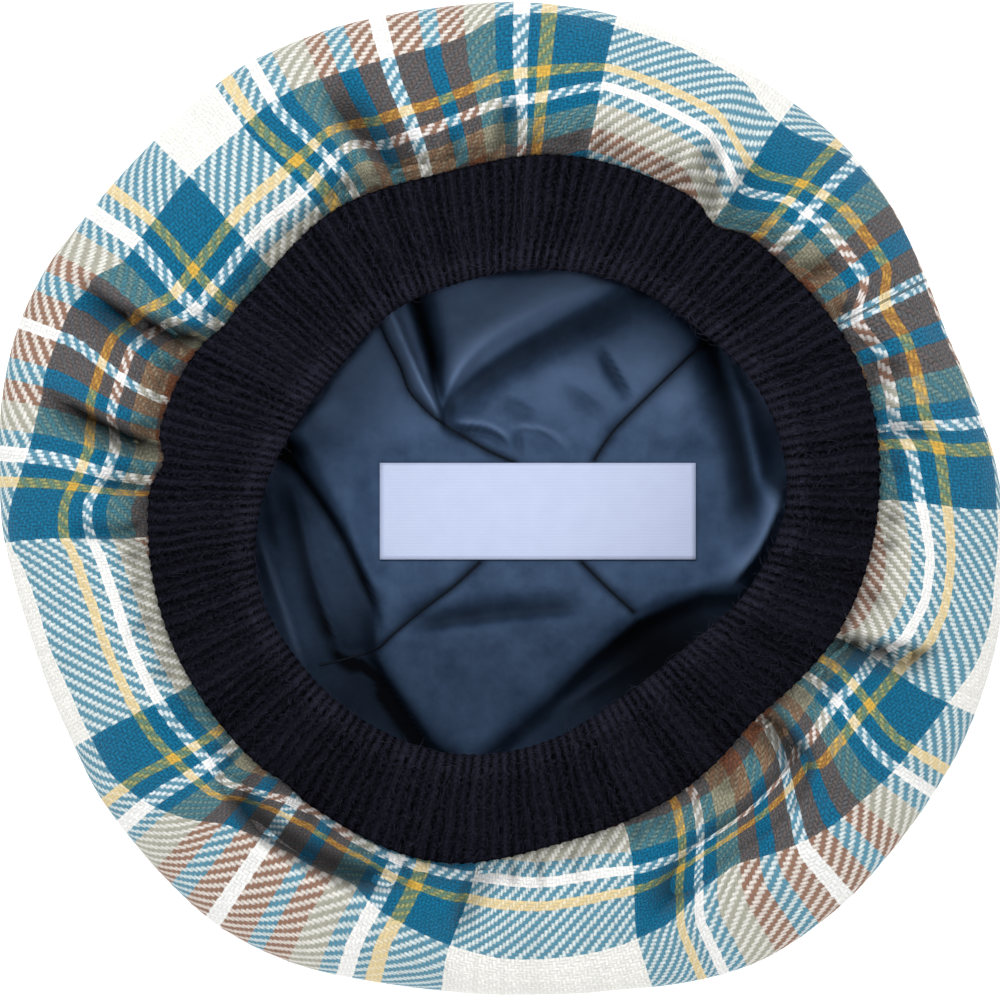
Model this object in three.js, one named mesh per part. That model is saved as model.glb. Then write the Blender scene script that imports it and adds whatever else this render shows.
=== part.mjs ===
import * as THREE from 'three';

// A tartan wool tam lying on its crown with the opening up.
// Millimetres, +Z up, angles in degrees counter-clockwise from +X seen from above.

// Cloth thicknesses, and the air left between pieces that touch
const WOOL = 1.8;
const SATIN = 1.0;
const KNIT = 5.0;
const LABEL = 1.0;
const GAP = 0.35;

// Heights above the floor
const CROWN_SEAM_Z = 9.0;
const RIM_Z = 25.0;
const BAND_FOOT_Z = 39.0;
const BAND_TOP_Z = 61.0;
const PANEL_Z = 8.5;
const FLOOR_LINING_Z = 4.2;

// Crown disc: the share of the rim radius that lies flat, and the seam's step in from the rim
const FLAT_SHARE = 0.79;
const CROWN_SEAM_IN = 3.6;

// Rib knit of the band
const RIBS = 184;
const RIB_RISE = 0.5;
const FOLD_START = 0.9;

// Label on the lining
const LABEL_SIZE = { wide: 87, tall: 26.6 };
const LABEL_AT = { x: 10.4, y: -3.9 };
const LABEL_CLEAR = 9;

// Facets
const SIDE_COLUMNS = 108;
const SIDE_ROWS = 8;
const CROWN_COLUMNS = 72;
const LINING_COLUMNS = 72;

// Sections round the hat: radii of the rim, of the seam on the band and of the mouth,
// and the height of the rolled side at its crest
const SECTIONS = [
  { at: 0, rim: 136.5, crestZ: 45, seam: 102.9, mouth: 78.0 },
  { at: 20, rim: 129.5, crestZ: 44, seam: 104.0, mouth: 76.6 },
  { at: 40, rim: 133.3, crestZ: 46, seam: 99.4, mouth: 70.6 },
  { at: 60, rim: 133.8, crestZ: 47, seam: 96.6, mouth: 67.0 },
  { at: 80, rim: 134.8, crestZ: 46, seam: 94.5, mouth: 63.0 },
  { at: 100, rim: 134.4, crestZ: 46, seam: 89.6, mouth: 59.6 },
  { at: 120, rim: 136.3, crestZ: 46, seam: 90.2, mouth: 58.4 },
  { at: 140, rim: 135.2, crestZ: 46, seam: 87.8, mouth: 56.4 },
  { at: 160, rim: 139.0, crestZ: 45, seam: 93.2, mouth: 58.7 },
  { at: 180, rim: 136.0, crestZ: 45, seam: 95.6, mouth: 64.6 },
  { at: 200, rim: 133.0, crestZ: 46, seam: 97.5, mouth: 70.0 },
  { at: 220, rim: 136.3, crestZ: 47, seam: 98.0, mouth: 70.8 },
  { at: 240, rim: 139.5, crestZ: 50, seam: 98.6, mouth: 71.4 },
  { at: 260, rim: 135.5, crestZ: 48, seam: 100.8, mouth: 70.9 },
  { at: 280, rim: 136.8, crestZ: 46, seam: 95.6, mouth: 68.0 },
  { at: 300, rim: 144.7, crestZ: 49, seam: 94.3, mouth: 64.0 },
  { at: 320, rim: 143.3, crestZ: 47, seam: 92.9, mouth: 65.0 },
  { at: 340, rim: 141.4, crestZ: 47, seam: 99.6, mouth: 72.2 },
];

// Gathers of the side: where each meets the band, its lean toward the rim, half width,
// depth, and the share of the way to the crown seam that it reaches
const GATHERS = [
  { at: 10, lean: -1, half: 3.0, depth: 3.0, reach: 0.60 },
  { at: 19, lean: 1, half: 3.0, depth: 2.0, reach: 0.30 },
  { at: 37, lean: 1, half: 3.0, depth: 2.0, reach: 0.30 },
  { at: 55, lean: 0, half: 3.5, depth: 5.0, reach: 0.65 },
  { at: 86, lean: 0, half: 3.0, depth: 2.5, reach: 0.50 },
  { at: 111, lean: 1, half: 4.0, depth: 4.0, reach: 0.45 },
  { at: 153, lean: 1, half: 3.5, depth: 6.0, reach: 0.55 },
  { at: 171, lean: 0, half: 3.0, depth: 4.0, reach: 0.40 },
  { at: 178, lean: 1, half: 3.0, depth: 3.0, reach: 0.50 },
  { at: 186, lean: 0, half: 3.0, depth: 2.0, reach: 0.60 },
  { at: 234, lean: -14, half: 4.5, depth: 5.0, reach: 0.55 },
  { at: 264, lean: 0, half: 3.5, depth: 3.0, reach: 0.55 },
  { at: 320, lean: -10, half: 3.5, depth: 4.0, reach: 0.45 },
  { at: 338, lean: -2, half: 3.5, depth: 6.0, reach: 0.70 },
];

// Hollows pressed into the rolled side: angle, share of the way from the band to the
// crown seam, half width in degrees, half length as a share, depth
const HOLLOWS = [
  { at: 245, share: 0.20, half: 12, along: 0.10, depth: 6.0 },
  { at: 303, share: 0.30, half: 9, along: 0.09, depth: 7.0 },
  { at: 20, share: 0.55, half: 16, along: 0.25, depth: 2.0 },
  { at: 130, share: 0.45, half: 12, along: 0.20, depth: -1.5 },
];

// Ridges of the loose lining, as lines on the floor plan
const LINING_RIDGES = [
  { x0: -57, y0: 20, x1: -33, y1: -35, high: 5.0, half: 8 },
  { x0: -16, y0: 27, x1: 16, y1: 57, high: 3.5, half: 9 },
  { x0: -30, y0: 51, x1: -19, y1: 27, high: 3.5, half: 6 },
  { x0: -32, y0: -42, x1: -6, y1: -71, high: 4.0, half: 8 },
  { x0: -6, y0: -71, x1: 38, y1: -34, high: 4.0, half: 8 },
  { x0: 38, y0: -33, x1: 78, y1: -8, high: 4.0, half: 8 },
  { x0: 52, y0: 40, x1: 77, y1: 21, high: 3.0, half: 8 },
];

// Seams between the four gores of the lining
const LINING_SEAMS = [
  { x0: 28, y0: 12, x1: 58, y1: 46, sink: 2.5, half: 5 },
  { x0: -4, y0: 12, x1: -34, y1: 46, sink: 2.5, half: 5 },
  { x0: -6, y0: -20, x1: -50, y1: -50, sink: 2.5, half: 5 },
  { x0: 24, y0: -20, x1: 56, y1: -50, sink: 2.5, half: 5 },
];

// Outline of the raised middle panel of the lining, by angle about the label
const PANEL_REACH = { x: 62, y: 56, fade: 16 };

const radians = THREE.MathUtils.degToRad;
const smooth = THREE.MathUtils.smoothstep;

// Value of one column of the section table at any angle, by a closed smooth curve
const sectionCurves = {};
for (const key of ['rim', 'crestZ', 'seam', 'mouth']) {
  const knots = SECTIONS.map((row) => new THREE.Vector3(row[key], 0, 0));
  sectionCurves[key] = new THREE.CatmullRomCurve3(knots, true, 'catmullrom', 0.5);
}

function around(key, degrees) {
  const share = ((degrees % 360) + 360) % 360 / 360;
  return sectionCurves[key].getPoint(share).x;
}

function bell(distance, half) {
  return Math.exp(-((distance / half) ** 2));
}

function degreesApart(a, b) {
  return ((a - b + 540) % 360 + 360) % 360 - 180;
}

// Height of the cloth's surface over its plain section, share 0 at the band and 1 at the crown
function gatherAt(degrees, share) {
  let rise = 0;
  for (const fold of GATHERS) {
    const offset = degreesApart(degrees, fold.at + fold.lean * share / fold.reach);
    const window = 1 - smooth(share, fold.reach * 0.4, fold.reach);
    const sides = bell(offset - 2.4 * fold.half, fold.half) + bell(offset + 2.4 * fold.half, fold.half);
    rise += fold.depth * window * (0.25 * sides - bell(offset, fold.half));
  }
  for (const dent of HOLLOWS) {
    const across = bell(degreesApart(degrees, dent.at), dent.half);
    rise -= dent.depth * across * bell(share - dent.share, dent.along);
  }
  return rise * smooth(share, 0, 0.1);
}

// Point at an angle, from a radius and a height
function placed(degrees, radius, z) {
  const turn = radians(degrees);
  return new THREE.Vector3(radius * Math.cos(turn), radius * Math.sin(turn), z);
}

// Line of the band's outer face in its section: its foot, its direction up, its normal out
function bandLine(degrees) {
  const foot = new THREE.Vector2(around('seam', degrees), BAND_FOOT_Z);
  const tip = new THREE.Vector2(around('mouth', degrees), BAND_TOP_Z);
  const up = tip.clone().sub(foot);
  const length = up.length();
  up.normalize();
  const out = new THREE.Vector2(up.y, -up.x);
  return { foot, up, out, length };
}

function onBand(line, along, away) {
  return line.foot.clone().addScaledVector(line.up, along).addScaledVector(line.out, away);
}

// Plain section of the side, from the crown seam round the rim to the band
function sideSection(degrees) {
  const rim = around('rim', degrees);
  const seam = around('seam', degrees);
  const crestZ = around('crestZ', degrees);
  const line = bandLine(degrees);
  const crest = seam + 0.36 * (rim - seam);
  const shoulder = seam + 0.72 * (rim - seam);
  return new THREE.SplineCurve([
    new THREE.Vector2(rim - CROWN_SEAM_IN, CROWN_SEAM_Z + GAP),
    new THREE.Vector2(rim - 0.5, 16.5),
    new THREE.Vector2(rim, RIM_Z),
    new THREE.Vector2(rim - 2.6, RIM_Z + 8.5),
    new THREE.Vector2(shoulder, crestZ - 5),
    new THREE.Vector2(crest, crestZ),
    new THREE.Vector2(seam + 4.2, crestZ - 2.2),
    onBand(line, WOOL, GAP),
  ]);
}

// Closed solid from a ring of closed loops, one loop of points for each column
function ringSolid(loops) {
  const size = loops[0].length;
  const corners = [];
  const index = [];
  for (const loop of loops) {
    for (const point of loop) corners.push(point.x, point.y, point.z);
  }
  loops.forEach((loop, column) => {
    const here = column * size;
    const next = ((column + 1) % loops.length) * size;
    for (let i = 0; i < size; i += 1) {
      const j = (i + 1) % size;
      index.push(here + i, next + i, next + j);
      index.push(here + i, next + j, here + j);
    }
  });
  return facingOut(corners, index);
}

// Closed dish from columns of points that run from the middle of one face over the edge
// to the middle of the other
function dishSolid(columns, firstMiddle, lastMiddle) {
  const size = columns[0].length;
  const corners = [];
  const index = [];
  for (const column of columns) {
    for (const point of column) corners.push(point.x, point.y, point.z);
  }
  const first = columns.length * size;
  corners.push(firstMiddle.x, firstMiddle.y, firstMiddle.z);
  corners.push(lastMiddle.x, lastMiddle.y, lastMiddle.z);
  columns.forEach((column, at) => {
    const here = at * size;
    const next = ((at + 1) % columns.length) * size;
    index.push(first, next, here);
    for (let i = 0; i < size - 1; i += 1) {
      index.push(here + i, next + i, next + i + 1);
      index.push(here + i, next + i + 1, here + i + 1);
    }
    index.push(first + 1, here + size - 1, next + size - 1);
  });
  return facingOut(corners, index);
}

// Geometry whose faces point out of the solid
function facingOut(corners, index) {
  const point = (i) => new THREE.Vector3().fromArray(corners, index[i] * 3);
  let volume = 0;
  for (let i = 0; i < index.length; i += 3) {
    volume += point(i).dot(point(i + 1).cross(point(i + 2)));
  }
  const order = volume < 0 ? [...index].reverse() : index;
  const geometry = new THREE.BufferGeometry();
  geometry.setAttribute('position', new THREE.Float32BufferAttribute(corners, 3));
  geometry.setIndex(order);
  geometry.computeVertexNormals();
  return geometry;
}

function turns(columns) {
  return Array.from({ length: columns }, (_, column) => column * 360 / columns);
}

// Side strip: outer points from the crown seam to the band, then the inner points back
function crownSide() {
  const loops = turns(SIDE_COLUMNS).map((degrees) => {
    const section = sideSection(degrees);
    const line = bandLine(degrees);
    const outer = [];
    const inner = [];
    for (let row = 0; row < SIDE_ROWS; row += 1) {
      const share = row / SIDE_ROWS;
      const along = section.getTangentAt(share);
      const out = new THREE.Vector2(along.y, -along.x);
      const surface = section.getPointAt(share).addScaledVector(out, gatherAt(degrees, 1 - share));
      outer.push(surface);
      inner.push(surface.clone().addScaledVector(out, -WOOL));
    }
    outer[0].y = CROWN_SEAM_Z + GAP;
    inner[0].y = CROWN_SEAM_Z + GAP;
    outer.push(onBand(line, WOOL, GAP));
    inner.push(onBand(line, 0, GAP));
    const section2d = [...outer, ...inner.reverse()];
    return section2d.map((p) => placed(degrees, p.x, p.y));
  });
  return ringSolid(loops);
}

// Crown disc: flat where it rests, turned up at its edge to meet the side
function crownTop() {
  const columns = turns(CROWN_COLUMNS).map((degrees) => {
    const rim = around('rim', degrees);
    const flat = FLAT_SHARE * rim;
    const edge = rim - CROWN_SEAM_IN;
    const turnUp = edge - flat;
    const under = [
      [flat, 0],
      [flat + 0.45 * turnUp, 1.2],
      [flat + 0.8 * turnUp, 4.2],
      [edge, CROWN_SEAM_Z],
    ];
    const over = [
      [edge - WOOL, CROWN_SEAM_Z],
      [flat + 0.8 * turnUp - 0.9, 4.2 + 1.55],
      [flat + 0.45 * turnUp - 0.3, 1.2 + 1.77],
      [flat, WOOL],
    ];
    return [...under, ...over].map(([radius, z]) => placed(degrees, radius, z));
  });
  return dishSolid(columns, placed(0, 0, 0), placed(0, 0, WOOL));
}

// Rib knit band: outer face, rounded fold at the mouth, inner face, one loop for each rib flank
function ribBand() {
  const loops = turns(RIBS * 2).map((degrees, column) => {
    const line = bandLine(degrees);
    const rib = column % 2 ? RIB_RISE : -RIB_RISE;
    const section = [
      onBand(line, 0, 0),
      onBand(line, FOLD_START * line.length, rib),
      onBand(line, line.length, rib - KNIT / 2),
      onBand(line, FOLD_START * line.length, -KNIT),
      onBand(line, 0, -KNIT),
    ];
    return section.map((p) => placed(degrees, p.x, p.y));
  });
  return ringSolid(loops);
}

function toSegment(x, y, line) {
  const dx = line.x1 - line.x0;
  const dy = line.y1 - line.y0;
  const share = ((x - line.x0) * dx + (y - line.y0) * dy) / (dx * dx + dy * dy);
  const held = THREE.MathUtils.clamp(share, 0, 1);
  return Math.hypot(x - line.x0 - held * dx, y - line.y0 - held * dy);
}

// Height of the lining's upper face on the floor plan, level under the label
function liningHeight(x, y) {
  const across = Math.max(Math.abs(x - LABEL_AT.x) - LABEL_SIZE.wide / 2, 0);
  const up = Math.max(Math.abs(y - LABEL_AT.y) - LABEL_SIZE.tall / 2, 0);
  const free = smooth(Math.hypot(across, up), LABEL_CLEAR, LABEL_CLEAR + 10);
  const reach = Math.hypot((x - LABEL_AT.x) / PANEL_REACH.x, (y - LABEL_AT.y) / PANEL_REACH.y);
  const fade = smooth(reach, 1, 1 + PANEL_REACH.fade / PANEL_REACH.x);
  let z = THREE.MathUtils.lerp(PANEL_Z, FLOOR_LINING_Z, fade);
  for (const ridge of LINING_RIDGES) z += free * ridge.high * bell(toSegment(x, y, ridge), ridge.half);
  for (const seam of LINING_SEAMS) z -= free * seam.sink * bell(toSegment(x, y, seam), seam.half);
  return z;
}

// Lining bag: inner face down the wall and over the floor to the middle, outer face back
function liningBag() {
  const floorShares = [0.9, 0.78, 0.66, 0.54, 0.4, 0.22];
  const columns = turns(LINING_COLUMNS).map((degrees) => {
    const seam = around('seam', degrees);
    const foot = onBand(bandLine(degrees), 0, -KNIT);
    const wall = [
      new THREE.Vector2(foot.x + 0.6, foot.y - GAP),
      new THREE.Vector2(seam + 2.0, 27.0),
      new THREE.Vector2(seam + 5.0, 17.0),
      new THREE.Vector2(seam + 1.0, 8.5),
    ];
    const inner = wall.map((p) => placed(degrees, p.x, p.y));
    const outer = wall.map((p, i) => placed(degrees, p.x + (i === 3 ? 0.7 : SATIN), p.y - (i === 3 ? 0.7 : 0)));
    for (const share of floorShares) {
      const at = placed(degrees, share * seam, 0);
      const z = liningHeight(at.x, at.y);
      inner.push(new THREE.Vector3(at.x, at.y, z));
      outer.push(new THREE.Vector3(at.x, at.y, z - SATIN));
    }
    return [...inner.reverse(), ...outer];
  });
  const middle = new THREE.Vector3(0, 0, liningHeight(0, 0));
  const below = new THREE.Vector3(0, 0, middle.z - SATIN);
  return dishSolid(columns, middle, below);
}

// Label: a plain woven rectangle lying just over the lining
function labelPlate() {
  const geometry = new THREE.BoxGeometry(LABEL_SIZE.wide, LABEL_SIZE.tall, LABEL);
  geometry.translate(LABEL_AT.x, LABEL_AT.y, PANEL_Z + GAP + LABEL / 2);
  return geometry;
}

const tartan = new THREE.MeshStandardMaterial({ color: 0x2a6f8e, roughness: 0.95, metalness: 0 });
const knit = new THREE.MeshStandardMaterial({ color: 0x1b1923, roughness: 0.95, metalness: 0 });
const satin = new THREE.MeshStandardMaterial({ color: 0x2b3c55, roughness: 0.35, metalness: 0 });
const woven = new THREE.MeshStandardMaterial({ color: 0xe3e3f0, roughness: 0.55, metalness: 0 });

const pieces = [
  ['crown_top', crownTop(), tartan],
  ['crown_side', crownSide(), tartan],
  ['band', ribBand(), knit],
  ['lining', liningBag(), satin],
  ['label', labelPlate(), woven],
];

// The whole part stands centred over the origin
const bounds = new THREE.Box3();
for (const [, geometry] of pieces) {
  geometry.computeBoundingBox();
  bounds.union(geometry.boundingBox);
}
const middle = bounds.getCenter(new THREE.Vector3());

const part = new THREE.Group();
for (const [name, geometry, material] of pieces) {
  geometry.translate(-middle.x, -middle.y, 0);
  const mesh = new THREE.Mesh(geometry, material);
  mesh.name = name;
  part.add(mesh);
}

export default part;
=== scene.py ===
"""Looks of a tartan wool tam lying on its crown, opening up, seen from straight above."""

import bpy
import numpy as np
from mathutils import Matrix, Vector


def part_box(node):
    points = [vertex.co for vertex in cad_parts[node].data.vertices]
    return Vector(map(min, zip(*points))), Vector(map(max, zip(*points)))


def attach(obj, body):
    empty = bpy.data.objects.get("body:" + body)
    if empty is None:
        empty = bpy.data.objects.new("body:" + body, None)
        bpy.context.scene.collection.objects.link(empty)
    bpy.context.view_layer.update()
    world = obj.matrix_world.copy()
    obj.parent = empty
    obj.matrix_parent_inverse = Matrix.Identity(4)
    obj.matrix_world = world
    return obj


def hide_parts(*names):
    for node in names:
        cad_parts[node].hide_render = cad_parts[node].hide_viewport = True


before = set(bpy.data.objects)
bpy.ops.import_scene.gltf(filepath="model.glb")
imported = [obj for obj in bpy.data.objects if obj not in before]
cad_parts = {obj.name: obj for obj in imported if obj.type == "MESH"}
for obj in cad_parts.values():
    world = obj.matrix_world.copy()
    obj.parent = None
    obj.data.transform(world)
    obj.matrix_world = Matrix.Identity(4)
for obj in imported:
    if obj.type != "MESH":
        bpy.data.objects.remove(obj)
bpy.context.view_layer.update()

# Shapes are worked out in millimetres, angles in degrees counter-clockwise from +X.
MM = 0.001

# Thickness of each cloth, and the gap between sewn pieces
WOOL = 1.8
SATIN = 1.0
KNIT = 5.0
LABEL_THICK = 0.7
GAP = 0.35

# Heights over the floor
CROWN_SEAM_Z = 9.0
RIM_Z = 25.0
BAND_FOOT_Z = 39.0
BAND_TOP_Z = 61.0
PANEL_Z = 8.5
FLOOR_LINING_Z = 4.2

# The crown's seam in from the rim, and the share of the crown disc that lies flat
CROWN_SEAM_IN = 3.6
FLAT_SHARE = 0.79

# The band's ribs, the height of its face and of one stitch
RIBS = 184
RIB_RISE = 0.65
FACE_TALL = 36
STITCH = 1.5

# The label's size and its middle
LABEL_WIDE = 87.0
LABEL_TALL = 26.6
LABEL_X = 10.4
LABEL_Y = -3.9

# Sections round the hat: angle, rim radius, crest height, seam radius, mouth radius
SECTIONS = np.array([
    (0, 136.5, 45, 102.9, 78.0), (20, 129.5, 44, 104.0, 76.6), (40, 133.3, 46, 99.4, 70.6),
    (60, 133.8, 47, 96.6, 67.0), (80, 134.8, 46, 94.5, 63.0), (100, 134.4, 46, 89.6, 59.6),
    (120, 136.3, 46, 90.2, 58.4), (140, 135.2, 46, 87.8, 56.4), (160, 139.0, 45, 93.2, 58.7),
    (180, 136.0, 45, 95.6, 64.6), (200, 133.0, 46, 97.5, 70.0), (220, 136.3, 47, 98.0, 70.8),
    (240, 139.5, 50, 98.6, 71.4), (260, 135.5, 48, 100.8, 70.9), (280, 136.8, 46, 95.6, 68.0),
    (300, 144.7, 49, 94.3, 64.0), (320, 143.3, 47, 92.9, 65.0), (340, 141.4, 47, 99.6, 72.2),
])
RIM, CREST, SEAM, MOUTH = 1, 2, 3, 4

# Creases of the side: (angle, radius) points, depth, half widths left and right, puffed side, faded ends
CREASES = [
    ([(10.4, 101), (9.7, 107), (8.5, 114), (8.2, 122)], 4.5, 3.5, 1.4, -1, "out"),
    ([(18.6, 102), (18.2, 109), (18.0, 116)], 5.0, 2.6, 2.6, 0, "out"),
    ([(36.4, 99), (35.4, 106), (35.0, 112)], 5.0, 2.6, 2.6, 0, "out"),
    ([(53.6, 93), (55.4, 101), (57.6, 106), (59.4, 114)], 8.0, 3.6, 1.6, -1, "out"),
    ([(50.0, 92), (52.0, 104), (53.2, 118)], 4.0, 2.4, 6.0, 1, "out"),
    ([(88.9, 92), (88.7, 100), (88.4, 109)], 5.5, 2.4, 2.4, 0, "out"),
    ([(106.8, 90), (109.0, 98), (111.6, 107), (113.0, 116), (113.5, 122)], 9.0, 2.4, 5.5, 1, "out"),
    (
        [(152.1, 86), (152.5, 91), (153.2, 98.6), (154.1, 112.7), (153.4, 123), (152.4, 132)],
        12.0, 4.6, 1.5, -1, "out",
    ),
    (
        [(171.7, 89), (171.2, 97.3), (170.2, 104.6), (168.7, 114), (167.5, 122), (166.8, 130)],
        12.0, 3.8, 1.5, -1, "out",
    ),
    ([(179.2, 94), (178.5, 102), (178.0, 110)], 5.0, 1.6, 3.0, 1, "out"),
    ([(187.0, 96), (185.3, 107), (184.9, 120)], 3.5, 1.4, 3.0, 1, "out"),
    (
        [
            (222.0, 101), (226.0, 105.4), (230.0, 108.2), (234.5, 110), (243.6, 109.9), (250.8, 109.3),
            (258.0, 104.5),
        ],
        10.5, 5.0, 1.3, -1, "both",
    ),
    ([(267.5, 99), (265.4, 107), (264.4, 116), (264.0, 121)], 5.0, 3.5, 1.6, -1, "out"),
    (
        [
            (288, 121), (294, 116), (298, 113.5), (302, 111.5), (308.4, 112), (315, 111.5), (319, 108),
            (320.3, 101), (320.4, 93),
        ],
        11.0, 5.5, 1.6, -1, "in",
    ),
    ([(331.0, 94), (330.0, 100), (329.0, 106)], 4.0, 2.6, 2.6, 0, "out"),
    ([(336.4, 95), (337.3, 102), (338.4, 112), (339.6, 121), (341.5, 129)], 12.0, 1.7, 4.6, 1, "out"),
    ([(309.0, 94), (308.0, 101)], 4.0, 2.6, 2.6, 0, "out"),
    ([(296.5, 95), (297.5, 103)], 3.0, 2.4, 2.4, 0, "out"),
]

# Broad swellings of the side: angle, radius, half angle, half radius, height
SWELLS = [
    (163, 108, 7, 12, 2.5), (246, 117, 10, 7, 3.0), (303, 125, 9, 7, 3.0), (347, 114, 7, 10, 2.0),
    (20, 122, 14, 12, -2.0), (130, 108, 12, 12, 1.5), (70, 107, 8, 9, 1.5), (100, 110, 7, 9, 1.0),
]

# Small pleats where the side is gathered onto the band
PLEATS = 58

# Places where a fold of the side laps over the band: angle, half width, lap
LAPS = [(51.5, 3.5, 5.0), (148, 3, 1.5), (174, 3, 4.0), (233, 3, 1.5), (318, 5, 1.0)]

# Where the strip's cross threads meet the rim: angle, and place along the strip in millimetres of its
# tartan; the strip's join is the jump
WARP = [
    (27.0, 0), (43.3, 34), (53.3, 60), (76.6, 118), (87.6, 144), (104.3, 178), (119.6, 212), (124.7, 223.5),
    (124.7, 274.1), (134.3, 296), (145.1, 322), (160.0, 356), (175.0, 390), (185.1, 416), (210.5, 474),
    (221.0, 500), (236.0, 534), (251.8, 568), (263.0, 594), (287.2, 652), (295.2, 678), (310.8, 712),
    (325.6, 746), (335.4, 772), (358.8, 830), (368.8, 856), (387.0, 890),
]
BEFORE_JOIN = 8
JOIN = 124.7

# Lean of the cross threads between the rim and the band: angle at the rim, degrees at the band
LEAN = [
    (0, 1), (5.6, 2.3), (8.8, 1.2), (15, 0.5), (27, 0), (43.3, -1.5), (46.6, -0.9), (53.3, -1), (60, 0),
    (76.6, -0.6), (84.4, 0), (87.6, -1.2), (98.2, -2.3), (104.3, -1.5), (111, -2), (119.6, -4.3),
    (123.2, -4), (125, -2.2), (134.3, 1), (141.7, 3), (145.1, 4), (152, 3), (160, 4), (170, 1.5), (175, 2.5),
    (178.6, 1), (185.1, 1.2), (200, 0.5), (210.5, 0.8), (217.8, 2), (221, 2), (231, 0), (236, 0), (251.8, 2),
    (255.6, 3), (263, 3), (275, 1.5), (287.2, 3.5), (292.8, 7), (295.2, 8), (310.8, 9), (317, 6.5),
    (325.6, 4), (328.8, 5), (335.4, 2), (345, 1), (360, 1),
]

# Radii of the white line and of the cream edge along the strip: angle, white, cream
STRIPES = [
    (0, 111.6, 137), (6, 110.5, 137), (11, 107.3, 136), (21, 109, 136), (25.4, 106, 136),
    (27.5, 106.5, 137), (30.4, 113.6, 138.5), (40, 112.7, 138), (46, 110.5, 131), (50, 105.4, 126.6),
    (53, 104.4, 126), (56, 107.6, 127), (60, 112.1, 131), (76, 113.5, 131), (80, 110, 132),
    (84, 107, 132.5), (90, 105.2, 130), (95, 102, 124), (100, 99.8, 121.7), (108, 99, 121.7),
    (112, 102, 122), (116, 100.9, 122.8), (120, 97.9, 122.6), (125, 96.1, 121), (132, 95.8, 120.2),
    (140, 94.5, 118.8), (148, 95, 119), (151, 97.1, 123.3), (154, 103, 126), (158, 106, 126.6),
    (170, 105.7, 126.6), (173, 103.3, 126.8), (177, 105.7, 129), (181, 110.3, 132.5), (185, 110.5, 134.5),
    (188, 107.8, 131), (195, 106.2, 128), (205, 106.2, 127.6), (215, 106, 128.5), (221, 104.9, 126),
    (226, 106, 120), (230, 103, 113.4), (234, 99.5, 111.4), (240, 97.9, 110.7), (250, 100.6, 110.6),
    (254, 101.2, 115), (264, 101.7, 121), (270, 102.2, 124), (276, 103.5, 125), (285, 103.8, 125),
    (291, 106.2, 123), (297, 107.3, 117.5), (303, 108.1, 116), (309, 108.4, 121), (316, 106.6, 126),
    (321, 104.4, 127.4), (328, 104.6, 129.5), (334, 107.5, 132), (337, 109.2, 134), (340, 113.7, 136.5),
    (346, 116.7, 136.5), (352, 116.1, 136), (360, 111.6, 137),
]

# Half of the tartan's repeat from its pale pivot: place where each colour starts
SETT = [
    (0, "white"), (2, "brown"), (9, "teal"), (14, "brown"), (20, "sage"), (28, "teal"),
    (32, "white"), (36, "teal"), (40.2, "yellow"), (43.8, "teal"), (60, "cream"),
]
HALF_SETT = 89
WHITE_AT = 34.0
CREAM_AT = 60.0

# Threads to a millimetre, and how far the two colours of a crossing run together
THREADS = 0.92
SOFTEN = 0.34

# Dyes of the threads, and the mud that brown and teal make together
COLOURS = {
    "cream": (246, 245, 240), "white": (250, 250, 250), "teal": (20, 98, 132),
    "yellow": (214, 172, 78), "sage": (140, 138, 118), "brown": (118, 75, 54), "mud": (94, 84, 83),
}

# How far pale threads hide the dark ones they cross, and the two kinds of thread that make mud
PALER = 0.12
KIND = {"brown": 1.0, "teal": 0.0}


def bell(distance, half):
    """A soft bump, 1 at no distance and nearly 0 from twice the half width on."""
    return np.exp(-((distance / half) ** 2))


def smooth(x, low, high):
    """0 up to low, 1 from high on, eased in between."""
    t = np.clip((x - low) / (high - low), 0, 1)
    return t * t * (3 - 2 * t)


def apart(a, b):
    """The signed turn from b to a in degrees, the short way round."""
    return np.mod(a - b + 180, 360) - 180


def hermite(p1, p2, m1, m2, w):
    """A smooth step from p1 to p2 with the slopes m1 and m2 at its ends."""
    return (
        (2 * w**3 - 3 * w**2 + 1) * p1 + (w**3 - 2 * w**2 + w) * m1
        + (3 * w**2 - 2 * w**3) * p2 + (w**3 - w**2) * m2
    )


def around(column, degrees):
    """One column of the section table at any angle, on a closed smooth curve."""
    knots = SECTIONS[:, column]
    place = np.mod(degrees, 360) / 360 * len(knots)
    i = np.floor(place).astype(int)
    p0, p1, p2, p3 = (knots[(i + k) % len(knots)] for k in (-1, 0, 1, 2))
    return hermite(p1, p2, (p2 - p0) / 2, (p3 - p1) / 2, place - i)


def spline(knots, samples):
    """Points along an open smooth curve through the knots of each column."""
    n = knots.shape[1]
    t = np.linspace(0, n - 1, samples)
    i = np.minimum(np.floor(t).astype(int), n - 2)
    p0, p1 = knots[:, np.maximum(i - 1, 0)], knots[:, i]
    p2, p3 = knots[:, i + 1], knots[:, np.minimum(i + 2, n - 1)]
    return hermite(p1, p2, (p2 - p0) / 2, (p3 - p1) / 2, (t - i)[None, :, None])


def by_length(curves, shares):
    """Each curve sampled again at these shares of its own length."""
    steps = np.linalg.norm(np.diff(curves, axis=1), axis=2)
    length = np.concatenate([np.zeros((len(curves), 1)), np.cumsum(steps, axis=1)], axis=1)
    out = np.empty((len(curves), len(shares), curves.shape[2]))
    for c in range(len(curves)):
        for k in range(curves.shape[2]):
            out[c, :, k] = np.interp(shares * length[c, -1], length[c], curves[c, :, k])
    return out


def curve(points):
    """A broken line rounded off, four short runs to each of its own."""
    return spline(np.array([points], float), 4 * (len(points) - 1) + 1)[0]


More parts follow.
